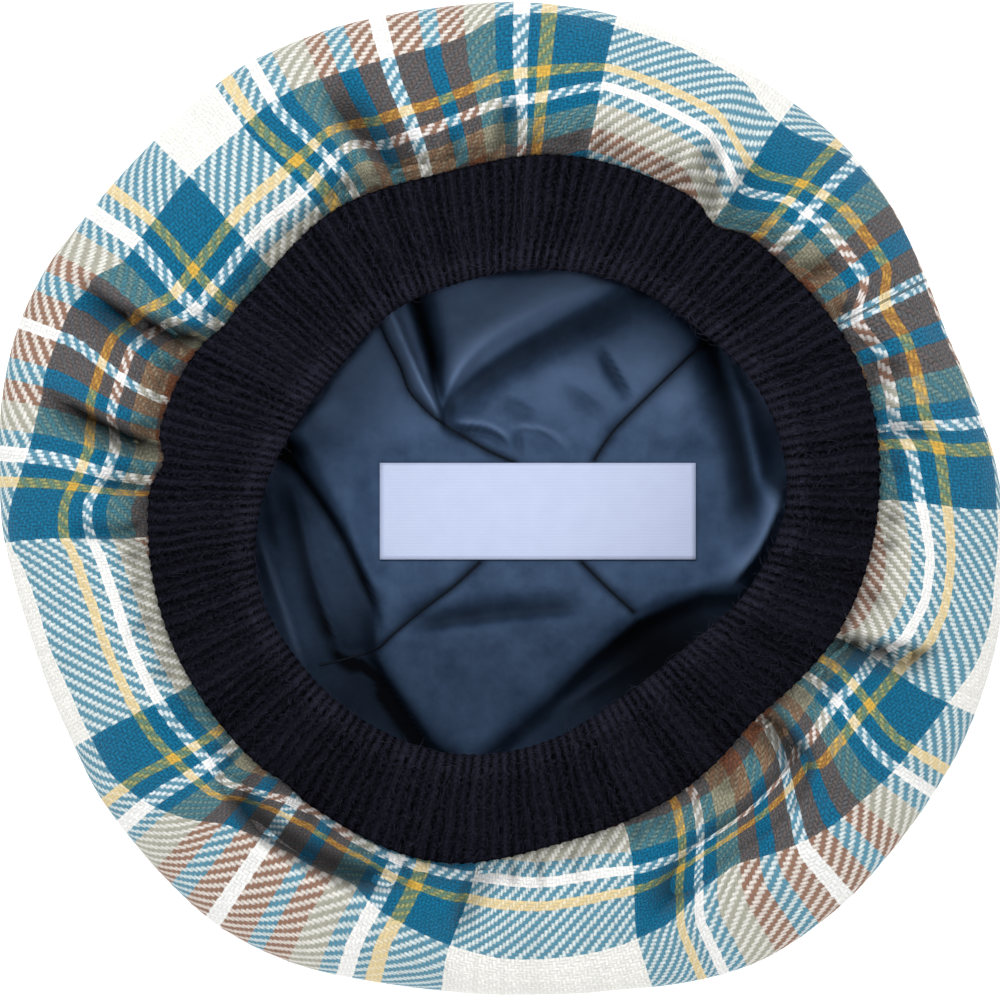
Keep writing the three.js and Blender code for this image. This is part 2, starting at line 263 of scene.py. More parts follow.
def band_line(degrees):
    """The band's foot, its way up, its way out and its length, each in radius and height."""
    foot = np.stack([around(SEAM, degrees), np.full_like(degrees, BAND_FOOT_Z)], -1)
    tip = np.stack([around(MOUTH, degrees), np.full_like(degrees, BAND_TOP_Z)], -1)
    length = np.linalg.norm(tip - foot, axis=-1, keepdims=True)
    up = (tip - foot) / length
    return foot, up, np.stack([up[..., 1], -up[..., 0]], -1), length[..., 0]


def to_line(x, y, line):
    """Signed distance to a broken line, left of its run positive, and the share along it."""
    best = np.full(x.shape, 1e9)
    signed, share = np.zeros(x.shape), np.zeros(x.shape)
    runs = np.hypot(*np.diff(np.array(line, float), axis=0).T)
    start = np.concatenate([[0], np.cumsum(runs)])
    for k, ((x0, y0), (x1, y1)) in enumerate(zip(line, line[1:])):
        dx, dy = x1 - x0, y1 - y0
        t = np.clip(((x - x0) * dx + (y - y0) * dy) / (dx * dx + dy * dy), 0, 1)
        far = np.hypot(x - x0 - t * dx, y - y0 - t * dy)
        side = np.where(dx * (y - y0) - dy * (x - x0) >= 0, 1.0, -1.0)
        near = far < best
        best = np.where(near, far, best)
        signed = np.where(near, far * side, signed)
        share = np.where(near, (start[k] + t * runs[k]) / start[-1], share)
    return signed, share


def folds_of_side(degrees, r):
    """Height of the folded cloth over its plain section, and the painted shade of its creases and pleats."""
    turn = np.radians(degrees)
    x, y = r * np.cos(turn), r * np.sin(turn)
    rise, painted_shade = np.zeros(x.shape), np.zeros(x.shape)
    for points, depth, left, right, puff, ends in CREASES:
        line = [(q * np.cos(np.radians(a)), q * np.sin(np.radians(a))) for a, q in points]
        d, share = to_line(x, y, curve(line))
        fade = 1.0 if ends == "out" else smooth(share, 0, 0.25)
        fade = fade * (1.0 if ends == "in" else 1 - smooth(share, 0.55 if ends == "out" else 0.75, 1.0))
        valley = bell(d, np.where(d > 0, left, right))
        swell = bell(d - puff * (2.0 + 1.6 * (left if puff > 0 else right)), 3.6) if puff else 0.0
        rise += depth * fade * (0.26 * swell - valley)
        # Painted shade along the creases: a narrow dark line, and a wider wash as wide as the valley.
        painted_line_shade = np.maximum(0.97 * bell(d, 1.4), 0.8 * bell(d, 1.2 * np.where(d > 0, left, right)))
        painted_shade = np.maximum(painted_shade, depth / 12 * fade * painted_line_shade)
    for at, radius, wide, deep, high in SWELLS:
        rise += high * bell(apart(degrees, at), wide) * bell(r - radius, deep)
    pick = np.random.default_rng(5)
    off_seam = r - around(SEAM, degrees)
    for k in range(PLEATS):
        at = (k + pick.uniform(0.1, 0.9)) * 360 / PLEATS
        half, depth, reach, slant = pick.uniform((1.0, 0.8, 6.0, -0.25), (1.9, 2.4, 13.0, 0.25))
        across = np.radians(apart(degrees, at + slant * off_seam)) * r
        fold = bell(across, half) * (1 - smooth(off_seam, 0.35 * reach, reach))
        rise -= depth * fold
        # Painted shade in the pleats.
        painted_shade = np.maximum(painted_shade, 0.21 * depth * fold)
    return rise, painted_shade


def waves(degrees, share, count, least, most, seed):
    """Soft seeded waves round the hat, each with its own number of turns, phase and drift."""
    pick = np.random.default_rng(seed)
    out = 0
    for _ in range(count):
        turns, phase, drift = pick.integers(least, most), pick.uniform(0, 6.28), pick.uniform(-9, 9)
        out = out + np.sin(np.radians(degrees) * turns + phase + drift * share)
    return out / count**0.5


label_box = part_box("label")
SHIFT = np.array([
    (label_box[0].x + label_box[1].x) / 2 / MM - LABEL_X,
    (label_box[0].y + label_box[1].y) / 2 / MM - LABEL_Y,
    0.0,
])


def placed(degrees, r, z):
    """Points in x, y and z from an angle, a radius and a height."""
    turn = np.radians(degrees)
    return np.stack([r * np.cos(turn), r * np.sin(turn), z], -1)


def piece(name, points, faces, corner_uv, material, node=None, maps=None):
    """A smooth mesh in metres that rides on the hat, with its cloth map at the face corners."""
    mesh = bpy.data.meshes.new(name)
    mesh.from_pydata(((points + SHIFT) * MM).tolist(), [], faces.tolist())
    layers = {"cloth": corner_uv}
    for key, values in (maps or {}).items():
        layers[key] = values[faces.ravel()]
    for key, values in layers.items():
        layer = mesh.uv_layers.new(name=key)
        layer.data.foreach_set("uv", np.ascontiguousarray(values, np.float32).ravel())
    mesh.polygons.foreach_set("use_smooth", np.ones(len(faces), bool))
    mesh.materials.append(material)
    made = bpy.data.objects.new(name, mesh)
    bpy.context.scene.collection.objects.link(made)
    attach(made, "root")
    if node:
        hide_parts(node)
    return made


def fuzz(name, points, faces, corner_uv, count, long, thick, lift, material, seed):
    """Short loose fibres that stand off a cloth, each with the cloth map of its root."""
    pick = np.random.default_rng(seed)
    quad = points[faces]
    across, along = quad[:, 1] - quad[:, 0], quad[:, 3] - quad[:, 0]
    normal = np.cross(across, along)
    area = np.linalg.norm(normal, axis=1)
    chosen = pick.choice(len(faces), count, p=area / area.sum())
    a, b = pick.uniform(0, 1, (2, count, 1))
    weights = [(1 - a) * (1 - b), a * (1 - b), a * b, (1 - a) * b]
    root = sum(w * quad[chosen, k] for k, w in enumerate(weights))
    uv = sum(w * corner_uv.reshape(-1, 4, 2)[chosen, k] for k, w in enumerate(weights))
    up = normal[chosen] / area[chosen, None]
    heading = np.cross(up, pick.normal(size=(count, 3)))
    heading /= np.linalg.norm(heading, axis=1, keepdims=True)
    bend = np.cross(up, heading) * pick.normal(0, 0.5, (count, 1))
    length = pick.uniform(*long, (count, 1))
    rise = pick.uniform(*lift, (count, 1))
    side = np.cross(heading, up)
    rings = []
    for s in (0, 0.35, 0.7, 1.0):
        middle = root + length * (heading * s + bend * s * s) + up * (rise * np.sin(s * 2.4) - 0.1)
        for turn in (0.0, 2.094, 4.189):
            rings.append(middle + thick * (1 - 0.75 * s) * (side * np.cos(turn) + up * np.sin(turn)))
    hair = np.stack(rings, 1)
    quads = []
    for first in (0, 3, 6):
        for k in range(3):
            nxt = (k + 1) % 3
            quads.append((first + k, first + nxt, first + 3 + nxt, first + 3 + k))
    hair_faces = (np.array(quads)[None] + (np.arange(count) * 12)[:, None, None]).reshape(-1, 4)
    hair_uv = np.repeat(uv, 36, axis=0)
    return piece(name, hair.reshape(-1, 3), hair_faces, hair_uv, material)


def ring_faces(columns, size):
    """Quads between neighbouring columns of points, each column closed on itself, and their rows."""
    c = np.arange(columns)[:, None]
    i = np.arange(size)[None, :]
    n, j = (c + 1) % columns, (i + 1) % size
    quads = np.stack([c * size + i, n * size + i, n * size + j, c * size + j], -1)
    return quads.reshape(-1, 4), np.broadcast_to(i, (columns, size)).reshape(-1)


def ring_uv(left_u, right_u, v):
    """Corner map of ring_faces: u from each column's two sides, v from its points."""
    left = np.broadcast_to(left_u[:, None], v.shape)
    right = np.broadcast_to(right_u[:, None], v.shape)
    beside = np.roll(v, -1, axis=0)
    corners = [
        (left, v),
        (right, beside),
        (right, np.roll(beside, -1, axis=1)),
        (left, np.roll(v, -1, axis=1)),
    ]
    return np.stack([np.stack(pair, -1) for pair in corners], 2).reshape(-1, 2)


# Materials

def linear(rgb):
    """A colour of the screen as light."""
    c = np.array(rgb, float) / 255
    return tuple(np.where(c <= 0.04045, c / 12.92, ((c + 0.055) / 1.055) ** 2.4)) + (1.0,)


class Nodes:
    """A material's node tree with short calls for the nodes used here."""

    def __init__(self, name):
        self.material = bpy.data.materials.new(name)
        self.material.use_nodes = True
        self.tree = self.material.node_tree
        self.shader = self.tree.nodes["Principled BSDF"]

    def put(self, socket, value):
        if isinstance(value, bpy.types.NodeSocket):
            self.tree.links.new(value, socket)
        else:
            socket.default_value = value

    def new(self, kind, inputs=(), **settings):
        node = self.tree.nodes.new(kind)
        for key, value in settings.items():
            setattr(node, key, value)
        for key, value in dict(inputs).items():
            self.put(node.inputs[key], value)
        return node

    def math(self, operation, a, b=0.0, c=0.0):
        return self.new("ShaderNodeMath", {0: a, 1: b, 2: c}, operation=operation).outputs[0]

    def mix(self, share, a, b, blend="MIX"):
        node = self.new("ShaderNodeMix", data_type="RGBA", blend_type=blend)
        self.put(node.inputs[0], share)
        self.put(node.inputs[6], a)
        self.put(node.inputs[7], b)
        return node.outputs[2]

    def noise(self, vector, scale, detail=2.0, rough=0.5):
        inputs = {"Vector": vector, "Scale": scale, "Detail": detail, "Roughness": rough}
        return self.new("ShaderNodeTexNoise", inputs).outputs["Fac"]

    def steps(self, share, stops):
        node = self.new("ShaderNodeValToRGB", {0: share})
        ramp = node.color_ramp
        ramp.interpolation = "CONSTANT"
        for k, (at, colour) in enumerate(stops):
            stop = ramp.elements[k] if k < 1 else ramp.elements.new(at)
            stop.position, stop.color = at, colour
        ramp.elements.remove(ramp.elements[-1])
        return node.outputs

    def map_uv(self, name="cloth"):
        split = self.new("ShaderNodeSeparateXYZ", {0: self.new("ShaderNodeUVMap", uv_map=name).outputs[0]})
        return split.outputs[0], split.outputs[1]

    def fade(self, value, low, high):
        """1 up to low, 0 from high on."""
        inputs = {0: value, 1: low, 2: high, 3: 1.0, 4: 0.0}
        return self.new("ShaderNodeMapRange", inputs, interpolation_type="SMOOTHSTEP").outputs[0]

    def grey(self, value):
        return self.new("ShaderNodeCombineColor", {0: value, 1: value, 2: value}).outputs[0]

    def bump(self, height, distance, strength=1.0):
        inputs = {"Height": height, "Distance": distance, "Strength": strength}
        self.put(self.shader.inputs["Normal"], self.new("ShaderNodeBump", inputs).outputs[0])

    def finish(self, colour, **sockets):
        self.put(self.shader.inputs["Base Color"], colour)
        for key, value in sockets.items():
            self.put(self.shader.inputs[key.replace("_", " ")], value)
        return self.material


def tartan_wool():
    """A two and two twill of coloured threads, with its nap, painted shading that lightens each thread's
    raised top, and painted shade in its creases.
    """
    n = Nodes("tartan_wool")
    u0, v0 = n.map_uv()
    place = n.new("ShaderNodeCombineXYZ", {0: u0, 1: v0}).outputs[0]
    wobble = n.math("SUBTRACT", n.noise(place, 0.35, 3.0), 0.5)
    hairy = n.math("SUBTRACT", n.noise(place, 1.9, 2.0, 0.7), 0.5)
    shift = n.math("MULTIPLY_ADD", hairy, 0.9, n.math("MULTIPLY", wobble, 0.9))
    u = n.math("MULTIPLY", n.math("ADD", u0, shift), THREADS)
    v = n.math("MULTIPLY", n.math("SUBTRACT", v0, shift), THREADS)
    fu, fv = n.math("FLOOR", u), n.math("FLOOR", v)
    stops = []
    for at, name in SETT:
        dye = tuple(c / 255 for c in COLOURS[name])
        stops.append((at / HALF_SETT, dye + (KIND.get(name, 0.5),)))

    def dyed(thread):
        """Colour and kind of the thread with this number."""
        middle = n.math("DIVIDE", n.math("ADD", thread, 0.5), THREADS)
        return n.steps(n.math("DIVIDE", n.math("PINGPONG", middle, HALF_SETT), HALF_SETT), stops)

    warp, warp_kind = dyed(fu)
    weft, weft_kind = dyed(fv)
    turn = n.math("FLOORED_MODULO", n.math("ADD", fu, fv), 4.0)
    over = n.math("LESS_THAN", turn, 1.5)

    def rounded(x, keep):
        centred = n.math("MULTIPLY_ADD", x, 2.0, -1.0)
        return n.math("MULTIPLY_ADD", n.math("MULTIPLY", centred, centred), -keep, 1.0)

    def choose(a, b):
        node = n.new("ShaderNodeMix", data_type="FLOAT")
        for k, value in ((0, over), (2, b), (3, a)):
            n.put(node.inputs[k], value)
        return node.outputs[0]

    float_u = n.math("MULTIPLY", n.math("FLOORED_MODULO", n.math("ADD", fu, v), 4.0), 0.5)
    late = n.math("ADD", n.math("ADD", u, fv), 2.0)
    float_v = n.math("MULTIPLY", n.math("FLOORED_MODULO", late, 4.0), 0.5)
    high_u = n.math("MULTIPLY", rounded(n.math("FRACT", u), 0.8), rounded(float_u, 0.6))
    high_v = n.math("MULTIPLY", rounded(n.math("FRACT", v), 0.8), rounded(float_v, 0.6))
    high = choose(high_u, high_v)
    yarn = choose(
        n.new("ShaderNodeTexWhiteNoise", {"W": fu}, noise_dimensions="1D").outputs[0],
        n.new("ShaderNodeTexWhiteNoise", {"W": fv}, noise_dimensions="1D").outputs[0],
    )
    blend = n.mix(0.5, weft, warp)
    light = n.new("ShaderNodeRGBToBW", {0: blend}).outputs[0]
    dim = n.fade(light, 0.4, 0.75)
    soften = n.math("MULTIPLY_ADD", n.fade(light, 0.53, 0.57), 0.35, SOFTEN)
    soften = n.math("ADD", soften, n.math("MULTIPLY_ADD", n.fade(light, 0.75, 0.81), -0.4, 0.4))
    soften = n.math("MINIMUM", n.math("MULTIPLY_ADD", high, -0.35, n.math("ADD", soften, 0.35)), 1.0)
    colour = n.mix(soften, n.mix(over, weft, warp), blend)
    no_brown = n.math("LESS_THAN", n.math("MAXIMUM", warp_kind, weft_kind), 0.9)
    paler = n.math("MULTIPLY", n.math("MULTIPLY_ADD", n.fade(light, 0.54, 0.6), -PALER, PALER), no_brown)
    colour = n.mix(paler, colour, n.mix(1.0, warp, weft, "LIGHTEN"))
    muddy = n.math("GREATER_THAN", n.math("ABSOLUTE", n.math("SUBTRACT", warp_kind, weft_kind)), 0.9)
    colour = n.mix(n.math("MULTIPLY", muddy, 0.75), colour, tuple(c / 255 for c in COLOURS["mud"]) + (1.0,))
    colour = n.new("ShaderNodeGamma", {0: colour, 1: 2.2}).outputs[0]
    nap = n.math("SUBTRACT", n.noise(place, 1.6, 5.0, 0.85), 0.5)
    # Painted shading of the weave: each thread lighter on its raised top, more so on dark dyes.
    tone = n.math("MULTIPLY", high, n.math("MULTIPLY_ADD", dim, 0.5, 0.2))
    tone = n.math("ADD", tone, n.math("MULTIPLY_ADD", dim, -0.22, 0.74))
    tone = n.math("ADD", tone, n.math("MULTIPLY", nap, n.math("MULTIPLY_ADD", dim, 2.8, 1.0)))
    tone = n.math("ADD", tone, n.math("MULTIPLY_ADD", yarn, 0.10, -0.05))
    # Painted shade in the creases and by the band, read from the side strip's map.
    painted_shade, _ = n.map_uv("crease")
    tone = n.math("MULTIPLY", tone, n.math("MULTIPLY_ADD", painted_shade, -0.92, 1.0))
    tone = n.math("MAXIMUM", tone, 0.04)
    shaded = n.mix(1.0, colour, n.grey(tone), "MULTIPLY")
    n.bump(n.math("MULTIPLY_ADD", nap, 0.7, high), 0.0004, 0.8)
    return n.finish(shaded, Roughness=0.95, Specular_IOR_Level=0.06, Sheen_Weight=0.08, Sheen_Roughness=0.5)


def rib_knit():
    """Dark knit with painted rib shading: u counts its ribs, v its stitches along a rib."""
    n = Nodes("rib_knit")
    u, v = n.map_uv()
    place = n.new("ShaderNodeCombineXYZ", {0: n.math("MULTIPLY", u, 1.6), 1: v}).outputs[0]
    side = n.math("ABSOLUTE", n.math("SUBTRACT", n.math("FRACT", u), 0.5))
    chain = n.math("SINE", n.math("MULTIPLY", n.math("MULTIPLY_ADD", side, -1.1, v), 6.2832))
    nap = n.noise(place, 1.6, 5.0, 0.8)
    yarn = n.new("ShaderNodeTexWhiteNoise", {"W": n.math("FLOOR", u)}, noise_dimensions="1D").outputs[0]
    # Painted rib shading: near black at each whole u, lightest halfway between, on top of random nap and
    # yarn tone.
    tone = n.math("ADD", n.math("MULTIPLY_ADD", side, -1.3, 0.5), n.math("MULTIPLY_ADD", nap, 3.6, -1.7))
    tone = n.math("MULTIPLY_ADD", yarn, 0.3, tone)
    colour = n.mix(tone, linear((2, 2, 4)), linear((42, 42, 56)))
    n.bump(n.math("ADD", n.math("MULTIPLY", chain, 0.2), n.math("MULTIPLY", nap, 1.4)), 0.0006, 0.9)
    return n.finish(colour, Roughness=0.95, Specular_IOR_Level=0.02)


def satin_lining():
    """Slubbed satin, with painted shade in its pockets and a painted highlight on its ridges."""
    n = Nodes("satin_lining")
    u, v = n.map_uv()
    place = n.new("ShaderNodeCombineXYZ", {0: u, 1: v}).outputs[0]
    # The lining's maps carry its painted shade and its painted highlight.
    pocket, light = n.map_uv("pocket")
    slub = n.noise(place, 0.09, 6.0, 0.65)
    colour = n.mix(n.math("MULTIPLY_ADD", slub, 2.4, -0.7), linear((42, 59, 84)), linear((64, 85, 114)))
    # Painted highlight on the ridges.
    colour = n.mix(light, colour, linear((104, 126, 160)))
    # Painted shade, near black in the pockets; the same map also roughens the satin there.
    colour = n.mix(pocket, colour, linear((3, 5, 9)))
    crinkle = n.noise(place, 0.35, 3.0)
    n.bump(n.math("MULTIPLY_ADD", crinkle, 1.2, n.noise(place, 5.0)), 0.0003, 0.5)
    return n.finish(colour, Roughness=n.math("MULTIPLY_ADD", pocket, 0.4, 0.45), Specular_IOR_Level=0.05)


def label_weave():
    """A bare pale weave with fine rows."""
    n = Nodes("label_weave")
    u, v = n.map_uv()
    rows = n.math("SINE", n.math("MULTIPLY", v, 6.2832 * 2.5))
    place = n.new("ShaderNodeCombineXYZ", {0: u, 1: v}).outputs[0]
    colour = n.mix(n.noise(place, 0.15), linear((178, 189, 220)), linear((188, 199, 228)))
    n.bump(rows, 0.00003, 0.4)
    return n.finish(colour, Roughness=0.5, Specular_IOR_Level=0.4)


tartan = tartan_wool()
knit = rib_knit()
satin = satin_lining()
woven = label_weave()
thread = Nodes("satin_thread").finish(linear((16, 22, 31)), Roughness=0.8, Specular_IOR_Level=0.1)
loose = Nodes("rib_knit_loose").finish(linear((48, 47, 62)), Roughness=0.9, Specular_IOR_Level=0.05)


# Side strip

def side_strip():
    """The crown side: from the crown seam over the roll to the band, gathered and creased."""
    fine = np.arange(0, 360, 0.25)
    rows, back = 80, 8
    shares = 1 - np.linspace(1, 0, rows) ** 1.25
    foot, up, out, _ = band_line(fine)
    rim, crest_z, seam = around(RIM, fine), around(CREST, fine), around(SEAM, fine)
    lap = sum(reach * bell(apart(fine, at), half) for at, half, reach in LAPS)
    level = np.ones_like(fine)
    knots = np.stack([
        np.stack([rim - CROWN_SEAM_IN, level * (CROWN_SEAM_Z + GAP)], -1),
        np.stack([rim - 0.5, level * 16.5], -1),
        np.stack([rim, level * RIM_Z], -1),
        np.stack([rim - 2.6, level * (RIM_Z + 8.5)], -1),
        np.stack([seam + 0.72 * (rim - seam), crest_z - 5], -1),
        np.stack([seam + 0.36 * (rim - seam), crest_z + 1.5], -1),
        np.stack([seam + 5.2 - lap, crest_z + 0.6], -1),
        np.stack([seam + 1.7 - lap, crest_z - 3.2 + 0.6 * lap], -1),
        foot + up * (WOOL + lap)[:, None] + out * (GAP + 0.1 * lap)[:, None],
    ], 1)
    section = by_length(spline(knots, 281), shares)
    along = np.gradient(section, axis=1)
    along /= np.linalg.norm(along, axis=2, keepdims=True)
    outward = np.stack([along[..., 1], -along[..., 0]], -1)
    w = np.broadcast_to(1 - shares[None, :], section.shape[:2])
    angles = np.broadcast_to(fine[:, None], w.shape)
    top = 1 - smooth(w, 0.55, 0.7)
    rise, painted_shade = folds_of_side(angles, section[..., 0])
    rise = rise * top * smooth(w, 0, 0.05)
    # Painted shade of the creases, and painted shade where the cloth runs down to the band.
    painted_shade = np.maximum(painted_shade * top, 0.6 * (1 - smooth(w, 0, 0.06)))
    rise = rise + 0.5 * waves(angles, w, 5, 9, 40, 3) * smooth(w, 0, 0.06) * (1 - smooth(w, 0.5, 0.9))
    rise = rise + 0.75 * waves(angles, w, 5, 50, 110, 4) * smooth(w, 0, 0.03) * (1 - smooth(w, 0.06, 0.24))
    level_part = (1 - smooth(w, 0.35, 0.6))[..., None]
    outer = section + (outward * (1 - level_part) + np.array([0.0, 1.0]) * level_part) * rise[..., None]
    mouth = around(MOUTH, fine)
    inward = (seam[:, None] - outer[..., 0]) / (seam - mouth)[:, None]
    on_band = np.clip(inward, 0, 1)
    least = BAND_FOOT_Z + (BAND_TOP_Z - BAND_FOOT_Z) * on_band + 1.5 + 2.6 * np.sin(on_band * np.pi)
    least = least - 60 * np.maximum(-inward - 0.02, 0)
    near_band = (inward > -0.12) & (w > 0.01) & (w < 0.3)
    outer[..., 1] = np.where(near_band, np.maximum(outer[..., 1], least), outer[..., 1])

    turn = np.sort(np.append(np.arange(0, 360, 0.4), JOIN))
    lean = np.interp(turn, *zip(*LEAN))
    ws = 1 - shares[None, :]
    angle = turn[:, None] + lean[:, None] * (1 - smooth(ws, 0.04, 0.48))
    surface = np.empty((len(turn), rows, 2))
    facing, plain = np.empty_like(surface), np.empty_like(surface)
    # dark carries the painted shade of the creases round with the leaning threads.
    dark = np.empty((len(turn), rows))
    for k in range(rows):
        dark[:, k] = np.interp(angle[:, k], fine, painted_shade[:, k], period=360)
        for axis in range(2):
            plain[:, k, axis] = np.interp(angle[:, k], fine, section[:, k, axis], period=360)
            surface[:, k, axis] = np.interp(angle[:, k], fine, outer[:, k, axis], period=360)
            facing[:, k, axis] = np.interp(angle[:, k], fine, outward[:, k, axis], period=360)

    # Place across the strip in its tartan, held to the two stripes that can be followed all round
    stripe_at, white_r, cream_r = (np.array(c) for c in zip(*STRIPES))
    blur = bell(np.arange(-12, 13) * 0.25, 1.2)
    blur = blur / blur.sum()

    def stripe(radii):
        """A stripe's radius all over the strip, its corners rounded off."""
        once_round = np.interp(fine, stripe_at, radii, period=360)
        rounded = np.convolve(np.pad(once_round, 12, mode="wrap"), blur, "valid")
        return np.interp(angle, fine, rounded, period=360)

    white, cream = stripe(white_r), stripe(cream_r)
    r = plain[..., 0]
    run = np.diff(plain, axis=1)
    steps = np.linalg.norm(run, axis=2)
    steep = np.cumprod(run[..., 0] > -0.75 * steps, axis=1)
    left_to_go = np.cumsum(steps[:, ::-1], axis=1)[:, ::-1]
    from_band = np.concatenate([left_to_go, np.zeros((len(turn), 1))], axis=1)
    share = (r - white) / (cream - white)
    tucked = np.interp(share, (0, 0.12, 0.24, 1), (0, 0.12, 0.56, 1), right=1) + np.maximum(share - 1, 0)
    hidden = smooth(np.mod(angle, 360), 296, 300) * (1 - smooth(np.mod(angle, 360), 316, 321))
    outside = WHITE_AT + (CREAM_AT - WHITE_AT) * (share + hidden * (tucked - share))
    v = np.where(r < white, WHITE_AT - 1.15 * (white - r), outside)
    for c in range(len(turn)):
        past = (v[c] >= CREAM_AT) | (np.arange(rows) <= steep[c].sum())
        last = np.nonzero(past)[0].max()
        start, start_v = from_band[c, last], v[c, last]
        if v[c, last] >= CREAM_AT:
            part = (CREAM_AT - v[c, last + 1]) / (v[c, last] - v[c, last + 1])
            start = from_band[c, last + 1] + part * (from_band[c, last] - from_band[c, last + 1])
            start_v = CREAM_AT
        v[c, : last + 1] = start_v + from_band[c, : last + 1] - start
    inside = np.linspace(rows - 1, 0, back).astype(int)
    loop = np.concatenate([surface, (surface - facing * WOOL)[:, inside]], axis=1)
    loop_angle = np.concatenate([angle, angle[:, inside]], axis=1)
    loop_v = np.concatenate([v, v[:, inside]], axis=1)
    points = placed(loop_angle, loop[..., 0], loop[..., 1]).reshape(-1, 3)

    before, after = list(zip(*WARP[:BEFORE_JOIN])), list(zip(*WARP[BEFORE_JOIN:]))
    lifted = np.where(turn < WARP[0][0], turn + 360, turn)
    u_left = np.where(lifted >= JOIN, np.interp(lifted, *after), np.interp(lifted, *before))
    nxt = np.roll(turn, -1)
    nxt = np.where(nxt <= WARP[0][0], nxt + 360, nxt)
    u_right = np.where(nxt > JOIN, np.interp(nxt, *after), np.interp(nxt, *before))
    faces, row = ring_faces(len(turn), loop.shape[1])
    uv = ring_uv(u_left, u_right, loop_v)
    seen = row < rows - 1
    seen_uv = uv.reshape(-1, 4, 2)[seen].reshape(-1, 2)
    fuzz(
        "crown_side_fuzz", points, faces[seen], seen_uv, count=4500, long=(0.8, 2.4), thick=0.06,
        lift=(0.1, 0.7), material=tartan, seed=31,
    )
    # The painted shade of the creases goes into a map of its own; the inner layer gets none.
    loop_painted_shade = np.concatenate([dark, 0 * dark[:, inside]], axis=1).ravel()
    maps = {"crease": np.stack([loop_painted_shade, loop_painted_shade], 1)}
    return piece("crown_side_cloth", points, faces, uv, tartan, "crown_side", maps)


# Crown disc

def crown_disc():
    """The crown's round top, flat on the floor and turned up to the seam at its rim."""
    turn = np.arange(0, 360, 1.0)
    rim = around(RIM, turn)
    flat, edge = FLAT_SHARE * rim, rim - CROWN_SEAM_IN
    up, zero = edge - flat, 0 * rim
    loop = [(0.02 + k * (flat - 0.02) / 24, zero) for k in range(25)]
    loop += [(flat + s * up, zero + CROWN_SEAM_Z * s**2.1) for s in np.linspace(0, 1, 13)[1:]]
    loop += [(edge - WOOL, zero + CROWN_SEAM_Z), (flat + 0.5 * up - 0.4, zero + 3.7), (flat, zero + WOOL)]
    loop += [(zero + 0.02, zero + WOOL)]
    r, z = (np.stack([p[k] for p in loop], 1) for k in (0, 1))
    points = placed(turn[:, None], r, z).reshape(-1, 3)
    faces, _ = ring_faces(len(turn), r.shape[1])
    uv = points[faces.ravel()][:, :2] + 20 * HALF_SETT
    return piece("crown_top_cloth", points, faces, uv, tartan, "crown_top")


# Band

def rib_band():
    """The folded band: ribs up its face, over the fold and down inside."""
    per_rib = 8
    columns = RIBS * per_rib
    turn = np.arange(columns) * 360 / columns
    foot, up, out, length = band_line(turn)
    face = np.linspace(0, 0.9, 40)
    fold = np.linspace(0, np.pi, 10)[1:-1]
    inner = np.linspace(0.9, 0, 6)
    rib = np.cos(np.arange(columns) * 2 * np.pi / per_rib)
    rib = np.sign(rib) * np.abs(rib) ** 0.7
    along = np.concatenate([face, 0.9 + 0.1 * np.sin(fold), inner])
    away = np.concatenate([0 * face, -KNIT / 2 * (1 - np.cos(fold)), 0 * inner - KNIT])
    bulge = np.concatenate([1.2 * np.sin(face / 0.9 * np.pi), 0 * fold, 0 * inner])
    face_relief = np.minimum(1.6, 0.6 + face * 6) * (1 - 0.6 * smooth(face, 0.75, 0.9))
    relief = np.concatenate([face_relief, 0 * fold + 0.5, 0.5 + 0 * inner])
    sag = 0.5 * waves(turn, 0.0, 4, 3, 11, 11) + 0.25 * waves(turn, 0.0, 5, 20, 60, 12)
    facing = np.concatenate([0 * face + 1, np.cos(fold), 0 * inner - 1])
    depth = away + bulge + sag[:, None] * bulge + RIB_RISE * rib[:, None] * relief * facing
    climb = (along * length[:, None])[..., None]
    section = foot[:, None] + up[:, None] * climb + out[:, None] * depth[..., None]
    drift = 0.25 * waves(np.zeros(1), along[None] * 3.0, 4, 1, 9, 14)
    drift = drift + 0.2 * waves(turn[:, None], along[None], 5, 4, 30, 15)
    angle = turn[:, None] + drift * np.sin(np.minimum(along, 0.9) / 0.9 * np.pi)[None]
    points = placed(angle, section[..., 0], section[..., 1]).reshape(-1, 3)
    v = np.broadcast_to(along * FACE_TALL / STITCH, (columns, len(along))).copy()
    back_v = np.linspace(face[-1], 2 * face[-1], len(along) - len(face))
    v[:, len(face):] = back_v[None] * FACE_TALL / STITCH
    faces, row = ring_faces(columns, len(along))
    u = np.arange(columns + 1) / per_rib
    uv = ring_uv(u[:-1], u[1:], v)
    seen = (row > 3) & (row < len(face) + len(fold) - 2)
    seen_uv = uv.reshape(-1, 4, 2)[seen].reshape(-1, 2)
    fuzz(
        "band_fuzz", points, faces[seen], seen_uv, count=6000, long=(1.5, 5.0), thick=0.07,
        lift=(0.2, 1.2), material=loose, seed=32,
    )
    return piece("band_knit", points, faces, uv, knit, "band")


# Lining

# Outline of the raised middle of the lining, that lies over the crown
PANEL = np.array([
    (-57.8, 18.4), (-42.4, -10.2), (-33.6, -29.0), (-33.0, -42.0), (-30.3, -49.8), (-19.3, -66.3),
    (-8.0, -73.0), (11.5, -56.4), (24.8, -43.2), (37.0, -33.0), (55.5, -25.6), (65.4, -25.6), (79.6, -3.6),
    (72.0, 5.0), (68.0, 25.0), (60.0, 40.0), (45.0, 56.0), (20.0, 64.0), (-10.0, 62.0), (-30.0, 54.0),
    (-45.0, 36.0),
])

